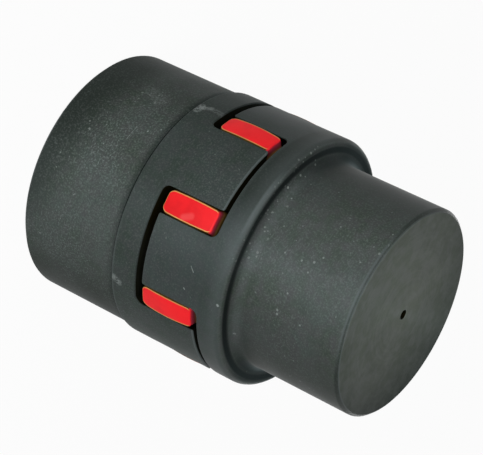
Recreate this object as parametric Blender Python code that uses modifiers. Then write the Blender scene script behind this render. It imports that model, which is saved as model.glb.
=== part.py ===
"""Unbored jaw coupling: two cast iron hubs with four claws each and an eight-armed elastomer spider.

The coupling stands on the outer end of its large hub. Its axis is +Z, the origin is the centre of
that end, and the spider's arms lie at every 45 degrees from +X. Lengths are in metres.
"""

from math import cos, pi, radians, sin, sqrt, tan

import bmesh
import bpy

# Overall sizes.
JAW_RING_D = 0.080
HUB_LENGTH = 0.045  # from a hub's outer end to the face between its claws
FACE_TO_FACE = 0.023  # between those two faces
CLAWS = 4  # on each hub
LARGE_HUB_FIRST_CLAW = radians(67.5)  # direction of one claw of the large hub

# Hub bodies.
LARGE_BODY_STEP = 0.0010  # how far the body lies inside the jaw ring's surface
SMALL_BODY_STEP = 0.0070
LARGE_RING_WIDTH = 0.0091  # of the jaw ring, without its claws
SMALL_RING_WIDTH = 0.0079
LARGE_RING_EDGE = 0.0007  # radius on the jaw ring's back edge
SMALL_RING_EDGE = 0.0013
LARGE_BODY_FILLET = 0.0002  # between the body and the back of the jaw ring
SMALL_BODY_FILLET = 0.0030
LARGE_END_CHAMFER = 0.0013
SMALL_END_CHAMFER = 0.0010
CENTRE_DRILL_D = 0.0026
CENTRE_DRILL_DEPTH = 0.0022
FACE_RELIEF = 0.0005  # depth of the turned recess inside the claws

# Claws.
LARGE_CLAW_CLEARANCE = 0.0016  # from the claw tips to the other hub's face
SMALL_CLAW_CLEARANCE = 0.0024
CLAW_DEPTH = 0.0130  # from the claws' inner side to the jaw ring's surface
WINDOW_WIDTH = 0.0080  # between neighbouring claws, at the ring's surface
FLANK_HOLLOW = 0.0010  # how far a claw's flank curves in between its two edges
CLAW_ROOT_FILLET = 0.0022
CLAW_TIP_ROUND = 0.0009
CLAW_TIP_ARC = 60  # degrees of the tip's round that are curved; a straight slope ends it
CLAW_TIP_EDGE = 0.0006

# Spider.
ARM_END_GAP = 0.0025  # from an arm's end to the hub's face
ARM_PROUD = 0.00015  # how far an arm's tip stands out of the jaw ring's surface
ARM_TO_CLAW = 0.00025  # clearance at the middle of an arm
ARM_CROWN = 0.0004  # how much an arm's flank falls back towards its ends
ARM_TIP_CROWN = 0.0006  # how much an arm's tip falls back towards its ends
ARM_END_ROUND = 0.0018
ARM_TIP_CORNER = 0.0010
ARM_TIP_EDGE = 0.0004
SPIDER_RING_GAP = 0.00125  # from the ring to the claws round it
SPIDER_RING_WALL = 0.00675
SPIDER_RING_STEP = 0.0005  # the ring is thinner than the arms by this much on each side
SPIDER_RING_EDGE = 0.0008
SPACER_D = 0.0050
SPACERS_PER_SIDE = 4
SPACER_TO_FACE = 0.0003

# Finishes: base colour and roughness.
LARGE_HUB_IRON = ((0.062, 0.072, 0.068), 0.62)
SMALL_HUB_IRON = ((0.066, 0.076, 0.074), 0.60)
SPIDER_ELASTOMER = ((0.78, 0.018, 0.022), 0.42)
CRISP_EDGE = radians(30)  # an edge sharper than this isn't shaded smooth

# Fineness of the round shapes.
TURNED_STEPS = 72
FLANK_STEPS = 6
ROUND_STEPS = 3
EDGE_STEPS = 2
CROWN_STEPS = 2
SPACER_STEPS = 16
OVERSHOOT = 0.003  # how far a cutter reaches past what it cuts
MERGE_DISTANCE = 0.00001

# Values that follow from the sizes above.
RING_R = JAW_RING_D / 2
LARGE_BODY_R = RING_R - LARGE_BODY_STEP
SMALL_BODY_R = RING_R - SMALL_BODY_STEP
CLAW_INNER_R = RING_R - CLAW_DEPTH
GAP_PEAK_R = RING_R + 4 * OVERSHOOT  # the outermost point of the cutter between two claws
COUPLING_LENGTH = 2 * HUB_LENGTH + FACE_TO_FACE
SPIDER_MIDDLE = HUB_LENGTH + FACE_TO_FACE / 2
SPIDER_WIDTH = FACE_TO_FACE - 2 * ARM_END_GAP
SPIDER_R = RING_R + ARM_PROUD
SPIDER_RING_R = CLAW_INNER_R - SPIDER_RING_GAP
SPIDER_BORE_R = SPIDER_RING_R - SPIDER_RING_WALL
ARM_PITCH = pi / CLAWS  # one arm for each claw of both hubs
ROOT_X = SPIDER_BORE_R + SPIDER_RING_WALL / 3  # where an arm starts, inside the ring
SPACER_X = (SPIDER_BORE_R + SPIDER_RING_R) / 2


def clear_scene():
    for old in list(bpy.data.objects):
        bpy.data.objects.remove(old, do_unlink=True)


def new_collection(name):
    collection = bpy.data.collections.new(name)
    bpy.context.scene.collection.children.link(collection)
    return collection


def principled(name, finish):
    colour, roughness = finish
    material = bpy.data.materials.new(name)
    material.use_nodes = True
    shader = material.node_tree.nodes["Principled BSDF"]
    shader.inputs["Base Color"].default_value = (*colour, 1)
    shader.inputs["Roughness"].default_value = roughness
    shader.inputs["Metallic"].default_value = 0
    return material


def add_object(name, mesh, collection, material=None):
    new = bpy.data.objects.new(name, mesh)
    collection.objects.link(new)
    if material:
        mesh.materials.append(material)
    return new


def arc(centre, radius, start, end, steps=ROUND_STEPS):
    """Points on a circle from one angle to another, both in degrees and both included."""
    angles = [radians(start + (end - start) * i / steps) for i in range(steps + 1)]
    return [(centre[0] + radius * cos(a), centre[1] + radius * sin(a)) for a in angles]


def turned(name, profile, collection, material=None, ring=False):
    """A solid of revolution about Z, from (radius, height) points that run from the top down.

    A ring's profile goes on round its inside and joins up with its first point.
    """
    mesh = bpy.data.meshes.new(name)
    edges = [(i, i + 1) for i in range(len(profile) - 1)]
    if ring:
        edges.append((len(profile) - 1, 0))
    mesh.from_pydata([(radius, 0, height) for radius, height in profile], edges, [])
    part = add_object(name, mesh, collection, material)
    screw = part.modifiers.new("turn", "SCREW")
    screw.steps = screw.render_steps = TURNED_STEPS
    screw.use_merge_vertices = True
    screw.merge_threshold = MERGE_DISTANCE
    screw.use_smooth_shade = True
    return part


def lofted(name, stacks, collection):
    """Closed solids, one for each stack of outlines. An outline runs anticlockwise seen from above."""
    shape = bmesh.new()
    for stack in stacks:
        rings = [[shape.verts.new(point) for point in outline] for outline in stack]
        shape.faces.new(reversed(rings[0]))
        shape.faces.new(rings[-1])
        for low, high in zip(rings, rings[1:]):
            for i in range(len(low)):
                j = (i + 1) % len(low)
                shape.faces.new((low[i], low[j], high[j], high[i]))
    mesh = bpy.data.meshes.new(name)
    shape.to_mesh(mesh)
    shape.free()
    return add_object(name, mesh, collection)


def placed(outline, angle, height):
    """An outline in the XY plane, turned about Z and lifted."""
    c, s = cos(angle), sin(angle)
    return [(x * c - y * s, x * s + y * c, height) for x, y in outline]


def combine(part, other, operation, solver="EXACT"):
    """Joins or cuts a part with a helper object, which isn't rendered itself."""
    other.hide_render = True
    other.display_type = "WIRE"
    boolean = part.modifiers.new(operation.lower(), "BOOLEAN")
    boolean.operation = operation
    boolean.solver = solver
    boolean.object = other


def shade_round(part):
    """Smooth shading that stays crisp at the edges, on the finished shape."""
    smooth = part.modifiers.new("crisp edges", "NODES")
    smooth.node_group = smooth_group()


def smooth_group():
    """Shades every face smooth, and keeps the crisp edges."""
    name = "smooth by angle"
    if name in bpy.data.node_groups:
        return bpy.data.node_groups[name]
    group = bpy.data.node_groups.new(name, "GeometryNodeTree")
    group.interface.new_socket("Geometry", in_out="INPUT", socket_type="NodeSocketGeometry")
    group.interface.new_socket("Geometry", in_out="OUTPUT", socket_type="NodeSocketGeometry")
    start = group.nodes.new("NodeGroupInput")
    angle = group.nodes.new("GeometryNodeInputMeshEdgeAngle")
    crisp = group.nodes.new("FunctionNodeCompare")
    crisp.operation = "GREATER_THAN"
    crisp.inputs[1].default_value = CRISP_EDGE
    faces = group.nodes.new("GeometryNodeSetShadeSmooth")
    faces.inputs["Shade Smooth"].default_value = True
    edges = group.nodes.new("GeometryNodeSetShadeSmooth")
    edges.domain = "EDGE"
    edges.inputs["Shade Smooth"].default_value = False
    end = group.nodes.new("NodeGroupOutput")
    link = group.links.new
    link(angle.outputs["Unsigned Angle"], crisp.inputs[0])
    link(start.outputs[0], faces.inputs["Geometry"])
    link(faces.outputs["Geometry"], edges.inputs["Geometry"])
    link(crisp.outputs["Result"], edges.inputs["Selection"])
    link(edges.outputs["Geometry"], end.inputs[0])
    return group


def half_window(x):
    """Half the width between two neighbouring claws, at distance x along the line between them.

    Each claw's flank is a shallow arc, hollow towards the spider's arm. The arc ends at the claw's
    inner and outer edges, where the window is WINDOW_WIDTH wide.
    """
    half_width = WINDOW_WIDTH / 2
    inner = sqrt(CLAW_INNER_R**2 - half_width**2)
    outer = sqrt(RING_R**2 - half_width**2)
    half_chord = (outer - inner) / 2
    radius = (half_chord**2 + FLANK_HOLLOW**2) / (2 * FLANK_HOLLOW)
    fall = radius - sqrt(radius**2 - (x - (inner + outer) / 2) ** 2)
    return half_width + FLANK_HOLLOW - fall


def steps_between(start, end, steps):
    return [start + (end - start) * i / steps for i in range(steps + 1)]


def gap_outline(inset):
    """The space between two claws of one hub, on a plane across the axis, centred on +X.

    Its sides are the flanks of two claws, which face the windows half an arm pitch to either side.
    """
    side = []
    for x in steps_between(CLAW_INNER_R - OVERSHOOT, RING_R + OVERSHOOT, FLANK_STEPS + 2):
        y = half_window(x) - inset
        c, s = cos(ARM_PITCH / 2), sin(ARM_PITCH / 2)
        side.append((x * c - y * s, x * s + y * c))
    mirrored = [(x, -y) for x, y in side]
    return mirrored + [(GAP_PEAK_R, 0)] + side[::-1]


def gap_cutter(name, claw_length, first_gap, collection):
    """Cuts the gaps between a hub's claws, with a fillet at each root and a round at each tip."""
    tip = HUB_LENGTH + claw_length
    levels = []
    for i in range(ROUND_STEPS + 1):
        a = radians(90) * i / ROUND_STEPS
        height = HUB_LENGTH + CLAW_ROOT_FILLET * (1 - cos(a))
        levels.append((height, CLAW_ROOT_FILLET * (1 - sin(a))))
    for i in range(ROUND_STEPS):
        b = radians(CLAW_TIP_ARC) * i / (ROUND_STEPS - 1)
        levels.append((tip - CLAW_TIP_ROUND * (1 - sin(b)), -CLAW_TIP_ROUND * (1 - cos(b))))
    height, inset = levels[-1]
    slope = tan(radians(CLAW_TIP_ARC))
    levels.append((height + CLAW_TIP_ROUND, inset - slope * CLAW_TIP_ROUND))
    stacks = []
    for i in range(CLAWS):
        angle = first_gap + 2 * pi * i / CLAWS
        stacks.append([placed(gap_outline(inset), angle, height) for height, inset in levels])
    return lofted(name, stacks, collection)


def hub_profile(body_r, ring_width, claw_length, ring_edge, fillet, chamfer):
    """Half the turned section of a hub that stands on its outer end, before its claws are cut."""
    floor = HUB_LENGTH - FACE_RELIEF
    tip = HUB_LENGTH + claw_length
    body_length = HUB_LENGTH - ring_width
    edge = CLAW_TIP_EDGE
    points = [(0, floor), (CLAW_INNER_R, floor)]
    points += arc((CLAW_INNER_R + edge, tip - edge), edge, 180, 90, EDGE_STEPS)
    points += arc((RING_R - edge, tip - edge), edge, 90, 0, EDGE_STEPS)
    points += arc((RING_R - ring_edge, body_length + ring_edge), ring_edge, 0, -90)
    points += arc((body_r + fillet, body_length - fillet), fillet, 90, 180)
    points += [(body_r, chamfer), (body_r - chamfer, 0)]
    points += [(CENTRE_DRILL_D / 2, 0), (0, CENTRE_DRILL_DEPTH)]
    return points


def make_hub(name, profile, claw_length, first_claw, collection, cutters, material):
    hub = turned(name, profile, collection, material)
    first_gap = first_claw + pi / CLAWS
    combine(hub, gap_cutter(name + "_gaps", claw_length, first_gap, cutters), "DIFFERENCE")
    shade_round(hub)
    return hub


def arm_outline(flank_inset, tip_inset):
    """One arm of the spider on a plane across the axis, pointing along +X, with rounded corners."""
    tip_r = SPIDER_R - tip_inset
    flank_end = SPIDER_R - ARM_TIP_CORNER
    clear = ARM_TO_CLAW + flank_inset
    side = [(x, half_window(x) - clear) for x in steps_between(ROOT_X, flank_end, FLANK_STEPS)]
    corner_y = side[-1][1] - ARM_TIP_CORNER
    corner_x = sqrt(tip_r**2 - corner_y**2) - ARM_TIP_CORNER
    side = [(x, y) for x, y in side if x < corner_x - MERGE_DISTANCE]
    side += arc((corner_x, corner_y), ARM_TIP_CORNER, 90, 0)
    tip = [(sqrt(tip_r**2 - y**2), y) for y in (corner_y / 2, 0, -corner_y / 2)]
    return [(x, -y) for x, y in side] + tip[::-1] + side[::-1]


def make_arms(collection):
    """Eight arms. Flanks and tips are crowned along the axis, and the ends are rounded."""
    half = SPIDER_WIDTH / 2
    straight = half - ARM_END_ROUND
    rises = [(rise, 0) for rise in steps_between(0, straight, CROWN_STEPS)]
    for i in range(1, ROUND_STEPS + 1):
        a = radians(90) * i / ROUND_STEPS
        rises.append((straight + ARM_END_ROUND * sin(a), ARM_END_ROUND * (1 - cos(a))))
    upper = []
    for rise, end_round in rises:
        away = (rise / half) ** 2
        tip_edge = max(0, ARM_TIP_EDGE - (half - rise))
        upper.append((rise, ARM_CROWN * away + end_round, ARM_TIP_CROWN * away + tip_edge))
    levels = [(-rise, flank, tip) for rise, flank, tip in upper[:0:-1]] + upper
    stacks = []
    for i in range(2 * CLAWS):
        stack = []
        for rise, flank_inset, tip_inset in levels:
            outline = arm_outline(flank_inset, tip_inset)
            stack.append(placed(outline, i * ARM_PITCH, SPIDER_MIDDLE + rise))
        stacks.append(stack)
    return lofted("spider_arms", stacks, collection)


def make_spacers(collection):
    """Small pegs on both sides of the spider's ring, which keep it midway between the hubs."""
    shape = bmesh.new()
    foot = SPIDER_WIDTH / 4  # inside the ring
    reach = FACE_TO_FACE / 2 + FACE_RELIEF - SPACER_TO_FACE
    for side in (-1, 1):
        for i in range(SPACERS_PER_SIDE):
            angle = 2 * pi * i / SPACERS_PER_SIDE
            made = bmesh.ops.create_cone(
                shape, cap_ends=True, segments=SPACER_STEPS, radius1=SPACER_D / 2,
                radius2=SPACER_D / 2, depth=reach - foot,
            )
            height = SPIDER_MIDDLE + side * (foot + reach) / 2
            spot = (SPACER_X * cos(angle), SPACER_X * sin(angle), height)
            bmesh.ops.translate(shape, verts=made["verts"], vec=spot)
    mesh = bpy.data.meshes.new("spider_spacers")
    shape.to_mesh(mesh)
    shape.free()
    return add_object("spider_spacers", mesh, collection)


def spider_ring_profile():
    """Section of the spider's ring, once round from its inner top edge."""
    half = SPIDER_WIDTH / 2 - SPIDER_RING_STEP
    edge = SPIDER_RING_EDGE
    corners = [
        (SPIDER_BORE_R, half - edge), (SPIDER_BORE_R + edge, half),
        (SPIDER_RING_R - edge, half), (SPIDER_RING_R, half - edge),
        (SPIDER_RING_R, edge - half), (SPIDER_RING_R - edge, -half),
        (SPIDER_BORE_R + edge, -half), (SPIDER_BORE_R, edge - half),
    ]
    return [(radius, SPIDER_MIDDLE + height) for radius, height in corners]


def make_spider(collection, cutters, material):
    spider = turned("spider", spider_ring_profile(), collection, material, ring=True)
    combine(spider, make_spacers(cutters), "UNION", "MANIFOLD")
    combine(spider, make_arms(cutters), "UNION", "MANIFOLD")
    shade_round(spider)
    return spider


def main():
    clear_scene()
    parts = new_collection("jaw_coupling")
    cutters = new_collection("cutters")
    cutters.hide_render = True

    large_claw = FACE_TO_FACE - LARGE_CLAW_CLEARANCE
    large_profile = hub_profile(
        LARGE_BODY_R, LARGE_RING_WIDTH, large_claw, LARGE_RING_EDGE, LARGE_BODY_FILLET,
        LARGE_END_CHAMFER,
    )
    make_hub(
        "large_hub", large_profile, large_claw, LARGE_HUB_FIRST_CLAW, parts, cutters,
        principled("large hub cast iron", LARGE_HUB_IRON),
    )

    small_claw = FACE_TO_FACE - SMALL_CLAW_CLEARANCE
    small_profile = hub_profile(
        SMALL_BODY_R, SMALL_RING_WIDTH, small_claw, SMALL_RING_EDGE, SMALL_BODY_FILLET,
        SMALL_END_CHAMFER,
    )
    # The small hub is built standing on its outer end and turned over, which mirrors its angles.
    small_hub_first_claw = -(LARGE_HUB_FIRST_CLAW + ARM_PITCH)
    small_hub = make_hub(
        "small_hub", small_profile, small_claw, small_hub_first_claw, parts, cutters,
        principled("small hub cast iron", SMALL_HUB_IRON),
    )
    turned_over = bpy.data.objects.new("small_hub_seat", None)
    parts.objects.link(turned_over)
    turned_over.location.z = COUPLING_LENGTH
    turned_over.rotation_euler.x = pi
    for piece in (small_hub, bpy.data.objects["small_hub_gaps"]):
        piece.parent = turned_over

    make_spider(parts, cutters, principled("spider elastomer", SPIDER_ELASTOMER))


main()
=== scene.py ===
# %% [markdown]
# # A jaw coupling, dressed for its portrait
# A jaw coupling joins two shafts. Two cast iron hubs reach into each other with four claws each,
# and a red elastomer spider fills the windows between the claws, so that iron never strikes iron.
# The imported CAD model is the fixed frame: every surface below is worked out at its own place in
# that frame, standing on the large hub's outer end with the axis along +Z.

from types import SimpleNamespace

import bmesh
import bpy
import numpy as np
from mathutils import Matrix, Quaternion, Vector


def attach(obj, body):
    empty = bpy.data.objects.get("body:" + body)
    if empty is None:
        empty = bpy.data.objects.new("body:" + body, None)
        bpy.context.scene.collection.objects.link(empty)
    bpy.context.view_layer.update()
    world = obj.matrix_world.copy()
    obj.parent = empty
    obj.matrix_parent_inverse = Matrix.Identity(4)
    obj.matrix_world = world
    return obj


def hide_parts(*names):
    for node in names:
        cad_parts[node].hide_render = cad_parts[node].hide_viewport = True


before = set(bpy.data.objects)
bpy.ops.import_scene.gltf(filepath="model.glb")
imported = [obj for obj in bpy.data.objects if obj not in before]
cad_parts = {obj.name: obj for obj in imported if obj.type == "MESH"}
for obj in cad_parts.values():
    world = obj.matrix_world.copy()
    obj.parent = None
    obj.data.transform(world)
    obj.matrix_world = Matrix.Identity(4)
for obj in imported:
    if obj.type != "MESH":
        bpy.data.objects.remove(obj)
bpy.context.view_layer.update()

# %% [markdown]
# ## The camera
# The photograph looks down on the coupling from a little over thirty degrees, with a long lens, and
# the camera is rolled far to one side, so that the standing coupling seems to lie across the frame.
# A camera can be aimed with constraints, but a place, a point to look at and a roll about the line
# of sight say the same thing in three numbers that can be read.

# %% Place the camera
CAMERA_PLACE = Vector((0.00156483, -0.56130887, 0.35404051))
CAMERA_AIM = Vector((-0.00239259, -0.00001687, 0.05254253))
CAMERA_ROLL = np.radians(115.7512)

lens = bpy.data.cameras.new("photo_camera")
lens.sensor_width = 36
lens.lens = 156.408
lens.clip_start, lens.clip_end = 0.05, 20
camera = bpy.data.objects.new("photo_camera", lens)
bpy.context.scene.collection.objects.link(camera)
camera.location = CAMERA_PLACE
camera.rotation_mode = "QUATERNION"
aimed = (CAMERA_AIM - CAMERA_PLACE).to_track_quat("-Z", "Y")
camera.rotation_quaternion = aimed @ Quaternion((0, 0, 1), CAMERA_ROLL)
bpy.context.scene.camera = camera
bpy.context.scene.view_settings.view_transform = "Standard"
print("camera is", round((CAMERA_AIM - CAMERA_PLACE).length, 3), "m from what it looks at")

# %% [markdown]
# ## Sizes
# The same sizes as in the CAD model, in millimetres, because a workshop drawing would give them so.
# The few that are new here are edges too fine for the CAD model, such as the broken edges of a
# claw. A ring's back is measured from its own hub's outer end.

# %% Sizes in millimetres
MM = 0.001
RING_R = 40.0
HUB_LENGTH = 45.0  # from a hub's outer end to the face between its claws
COUPLING_LENGTH = 113.0
LARGE_BODY_R, SMALL_BODY_R = 39.0, 33.0
LARGE_CHAMFER, SMALL_CHAMFER = 1.3, 1.0
LARGE_RING_BACK, SMALL_RING_BACK = 35.9, 37.1
LARGE_CLAW_HEIGHT, SMALL_CLAW_HEIGHT = 21.4, 20.6
CLAWS = 4  # on each hub
CLAW_INNER_R = 27.0
RECESS_FLOOR = 44.5
LARGE_HUB_FIRST_CLAW = np.radians(67.5)
SMALL_HUB_FIRST_CLAW = np.radians(22.5)
ARM_PITCH = np.pi / CLAWS  # one arm for each claw of both hubs

WINDOW_WIDTH = 8.0  # between neighbouring claws, at their edges
FLANK_HOLLOW = 1.0
TIP_ROUND = 0.7
ROOT_FILLET = 2.2
FLANK_EDGE = 0.28  # broken edge between a flank and the turned surface
TIP_EDGE = 0.55  # the lathe's edge round a claw's tip

overlap = LARGE_CLAW_HEIGHT + SMALL_CLAW_HEIGHT - (COUPLING_LENGTH - 2 * HUB_LENGTH)
print("the claws overlap by", round(overlap, 1), "mm")

# %% [markdown]
# ## A mesh from a grid of points
# Every new surface is a grid: rows run along a profile and columns run round the axis. The last
# column joins the first. Where rows or columns fall together, at a pole or on an upright flank, the
# doubled points are merged, which leaves a closed shell.

# %% Grid helper
MERGE_DISTANCE = 2e-6  # metres, far less than the smallest edge
SLIVER = 1e-6


def closed_surface(name, grids, measures=None):
    """A closed mesh over grids of points in millimetres, each with the shape rows, columns, xyz.

    Measures holds named numbers, one for each point of each grid, which a finish can read.
    """
    points, quads, first = [], [], 0
    for grid in grids:
        rows, columns, _ = grid.shape
        index = first + np.arange(rows * columns).reshape(rows, columns)
        after = np.roll(index, -1, axis=1)
        quads.append(np.stack([index[:-1], after[:-1], after[1:], index[1:]], -1).reshape(-1, 4))
        points.append(grid.reshape(-1, 3) * MM)
        first += rows * columns
    mesh = bpy.data.meshes.new(name)
    mesh.from_pydata(np.concatenate(points), [], np.concatenate(quads))
    for key, values in (measures or {}).items():
        layer = mesh.attributes.new(key, "FLOAT", "POINT")
        layer.data.foreach_set("value", np.concatenate([v.ravel() for v in values]))
    shape = bmesh.new()
    shape.from_mesh(mesh)
    bmesh.ops.remove_doubles(shape, verts=shape.verts, dist=MERGE_DISTANCE)
    bmesh.ops.dissolve_degenerate(shape, edges=shape.edges, dist=SLIVER)
    bmesh.ops.recalc_face_normals(shape, faces=shape.faces)
    open_edges = sum(not edge.is_manifold for edge in shape.edges)
    shape.to_mesh(mesh)
    shape.free()
    mesh.shade_smooth()
    piece = bpy.data.objects.new(name, mesh)
    bpy.context.scene.collection.objects.link(piece)
    print(name, "has", len(mesh.polygons), "faces and", open_edges, "open edges")
    return piece


def even_shading(piece):
    """Lets the large faces set the shading, so that only the narrow broken edges look round."""
    modifier = piece.modifiers.new("even shading", "WEIGHTED_NORMAL")
    modifier.weight = 50  # neutral: a face counts by its area
    modifier.keep_sharp = True


# %% [markdown]
# ## The flank of a claw
# Seen along the axis, the window between two claws is a lens shape: 8 mm wide at the claws' edges
# and 2 mm wider in the middle, because each flank is hollowed to hold the crowned arm of the
# spider. A free curve could be fitted to it, but the flank is one shallow arc, so it is enough to
# know the angle at which it stands at each radius.

# %% Flank curve
def half_window(x):
    """Half the window's width at distance x along its middle line: the sagitta arc of a flank.

    Half the width at the edges, plus the hollow, less the fall of a circle from its middle.
    """
    half = WINDOW_WIDTH / 2
    inner = np.sqrt(CLAW_INNER_R**2 - half**2)
    outer = np.sqrt(RING_R**2 - half**2)
    chord = (outer - inner) / 2
    radius = (chord**2 + FLANK_HOLLOW**2) / (2 * FLANK_HOLLOW)
    return half + FLANK_HOLLOW - radius + np.sqrt(radius**2 - (x - (inner + outer) / 2) ** 2)


along = np.linspace(CLAW_INNER_R - 3, RING_R + 2, 400)
flank_radius = np.hypot(along, half_window(along))
window_angle = np.arctan2(half_window(along), along)


def claw_half_angle(radius):
    """Angle from a claw's middle to its flank at a radius."""
    return ARM_PITCH / 2 - np.interp(radius, flank_radius, window_angle)


print("claws are", round(2 * np.degrees(float(claw_half_angle(RING_R))), 1), "degrees wide outside")

# %% [markdown]
# ## The hubs
# On the real hub the body and ring are turned on a lathe and the claws are left as cast. A Boolean
# cut would copy that, but leaves ragged normals on its edges. Here each column of the grid goes
# instead from the centre of the outer end, out along the turned profile, up the ring, over the
# top and back to the axis. Only the height at which it crosses over changes from column to column:
# high on a claw, low in a gap, and along the wall and its fillet in between.

# %% Columns of one hub
def spread(start, end, steps, closed=True):
    """Even steps from start to end, without the end itself where they aren't closed."""
    return np.linspace(start, end, steps + 1)[: None if closed else -1]


def jaw_columns(tip):
    """The columns round a hub, as rows of (base, flank share, shift, height, around, up, edge).

    A column's angle at radius r is base + share * claw_half_angle(r) + shift / r. Around and up are
    the direction in which the crossing surface faces, and edge is the radius of its broken edge.
    """
    f = spread(0, 1, 9, closed=False)
    zero, one = np.zeros_like(f), np.ones_like(f)
    claw = np.stack([zero, f, -f * TIP_ROUND, one * tip, zero, one, one * TIP_EDGE])
    t = spread(0, np.pi / 2, 6)
    blend = FLANK_EDGE + (TIP_EDGE - FLANK_EDGE) * np.cos(t) ** 2
    zero, one = np.zeros_like(t), np.ones_like(t)
    over_tip = np.stack([
        zero, one, TIP_ROUND * (np.sin(t) - 1), tip - TIP_ROUND * (1 - np.cos(t)),
        np.sin(t), np.cos(t), blend,
    ])
    wall_z = spread(tip - TIP_ROUND, HUB_LENGTH + ROOT_FILLET, 5)[1:-1]
    zero, one = np.zeros_like(wall_z), np.ones_like(wall_z)
    wall = np.stack([zero, one, zero, wall_z, one, zero, one * FLANK_EDGE])
    t = spread(0, np.pi / 2, 7)
    zero, one = np.zeros_like(t), np.ones_like(t)
    root = np.stack([
        zero, one, ROOT_FILLET * (1 - np.cos(t)), HUB_LENGTH + ROOT_FILLET * (1 - np.sin(t)),
        np.cos(t), np.sin(t), one * FLANK_EDGE,
    ])
    g = spread(-1, 0, 9)[1:]
    zero, one = np.zeros_like(g), np.ones_like(g)
    gap = np.stack([
        ARM_PITCH * (1 + g), -g, -g * ROOT_FILLET, one * HUB_LENGTH, zero, one, one * FLANK_EDGE,
    ])
    half = np.concatenate([claw, over_tip, wall, root, gap], axis=1)
    other = half[:, -2:0:-1] * np.array([[-1], [-1], [-1], [1], [-1], [1], [1]])
    other[0] += 2 * ARM_PITCH
    quarter = np.concatenate([half, other], axis=1)
    turns = [quarter + np.array([[2 * ARM_PITCH * i]] + [[0]] * 6) for i in range(CLAWS)]
    return np.concatenate(turns, axis=1)


def circle_arc(centre_r, centre_z, radius, start, end, steps):
    """Profile points (r, z) on a circle, between two angles in degrees."""
    t = np.radians(np.linspace(start, end, steps + 1))
    return np.stack([centre_r + radius * np.cos(t), centre_z + radius * np.sin(t)], 1)


EDGE_ANGLES = np.radians((22.5, 45, 67.5))  # rows on the quarter circle of a broken edge
RECESS_ROWS = (CLAW_INNER_R, 26, 20, 13, 6, 0)  # radii of the rows on the recess's flat floor


def hub_grid(columns, profile):
    """The whole hub as one grid: rows along the section, columns round the axis.

    A row puts radius and height at each column's angle. Up the ring and down inside the claws the
    height is the smaller of the row's own and the column's crossing height, and a broken edge is a
    quarter circle of its radius.
    """
    base, share, shift, top, around, up, edge = columns
    tip = top.max()

    def angle(radius, inward=0.0):
        """Each column's angle at a radius, moved inwards along the way its surface faces."""
        return base + share * claw_half_angle(radius) + (shift - inward * around) / radius

    def row(radius, height, angles):
        """Points from radius, height and angle: radius times cosine, times sine, and height."""
        radius, height, angles = np.broadcast_arrays(radius, height, angles)
        return np.stack([radius * np.cos(angles), radius * np.sin(angles), height], -1)

    outside = angle(RING_R, edge)
    rows = [row(r, z, outside) for r, z in profile]
    crossing = top - edge * up
    levels = np.unique(np.round(crossing, 4))
    rows += [row(RING_R, np.minimum(z, crossing), outside) for z in levels]
    for t in EDGE_ANGLES[::-1]:
        inward = edge * (1 - np.cos(t))
        radius = RING_R - edge * (1 - np.sin(t))
        rows.append(row(radius, top - inward * up, angle(radius, inward)))
    for share_in in spread(0, 1, 12):
        radius = RING_R - edge + share_in * (CLAW_INNER_R - RING_R + 2 * edge)
        rows.append(row(radius, top, angle(radius)))
    for t in EDGE_ANGLES:
        inward = edge * (1 - np.cos(t))
        radius = CLAW_INNER_R + edge * (1 - np.sin(t))
        rows.append(row(radius, top - inward * up, angle(radius, inward)))
    inside = angle(CLAW_INNER_R, edge)
    rows += [row(CLAW_INNER_R, np.minimum(z, crossing), inside) for z in levels[::-1]]
    rows += [row(r, RECESS_FLOOR, inside) for r in RECESS_ROWS]
    return np.stack(rows)


# %% [markdown]
# The turned profiles differ: the large hub's body is nearly as wide as its ring and meets it with a
# small step, while the small hub's body sweeps into the back of the ring with a 3 mm fillet. Each
# outer end has a small chamfer and the dimple of a centre drill.

# %% Turned profiles and the two hubs
DRILL_MARK = ((0, 2.2), (0.35, 1.95), (1.2, 0.45), (1.45, 0.16), (1.6, 0))  # (radius, depth)
SOFTENING = 0.18  # how far a chamfer's two edges are eased


def hub_profile(body_r, ring_back, ring_edge, fillet, chamfer):
    """Section points (r, z) from the drill mark at the centre of the outer end to the ring."""
    end_face = [(r, 0) for r in np.linspace(2.0, body_r - chamfer - 0.3, 9)]
    eased = SOFTENING * 0.6
    corners = [(body_r - chamfer - SOFTENING, 0), (body_r - chamfer + eased, eased),
               (body_r - eased, chamfer - eased), (body_r, chamfer + SOFTENING)]
    body = [(body_r, z) for z in np.linspace(chamfer + 0.5, ring_back - fillet - 0.3, 12)]
    sweep = circle_arc(body_r + fillet, ring_back - fillet, fillet, 180, 90, 7)
    back = circle_arc(RING_R - ring_edge, ring_back + ring_edge, ring_edge, -90, 0, 6)
    return [*DRILL_MARK, *end_face, *corners, *body, *map(tuple, sweep), *map(tuple, back)]


large_profile = hub_profile(
    LARGE_BODY_R, LARGE_RING_BACK, ring_edge=0.7, fillet=0.2, chamfer=LARGE_CHAMFER
)
large_grid = hub_grid(jaw_columns(HUB_LENGTH + LARGE_CLAW_HEIGHT), large_profile)
small_profile = hub_profile(
    SMALL_BODY_R, SMALL_RING_BACK, ring_edge=2.0, fillet=3.0, chamfer=SMALL_CHAMFER
)
small_grid = hub_grid(jaw_columns(HUB_LENGTH + SMALL_CLAW_HEIGHT), small_profile)


def turned_by(grid, angle):
    """The points turned about the axis."""
    c, s = np.cos(angle), np.sin(angle)
    return grid @ np.array([[c, s, 0], [-s, c, 0], [0, 0, 1]])


def upside_down(grid):
    """The points mirrored in height, so that the outer end becomes the top."""
    return grid * (1, 1, -1) + (0, 0, COUPLING_LENGTH)


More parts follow.
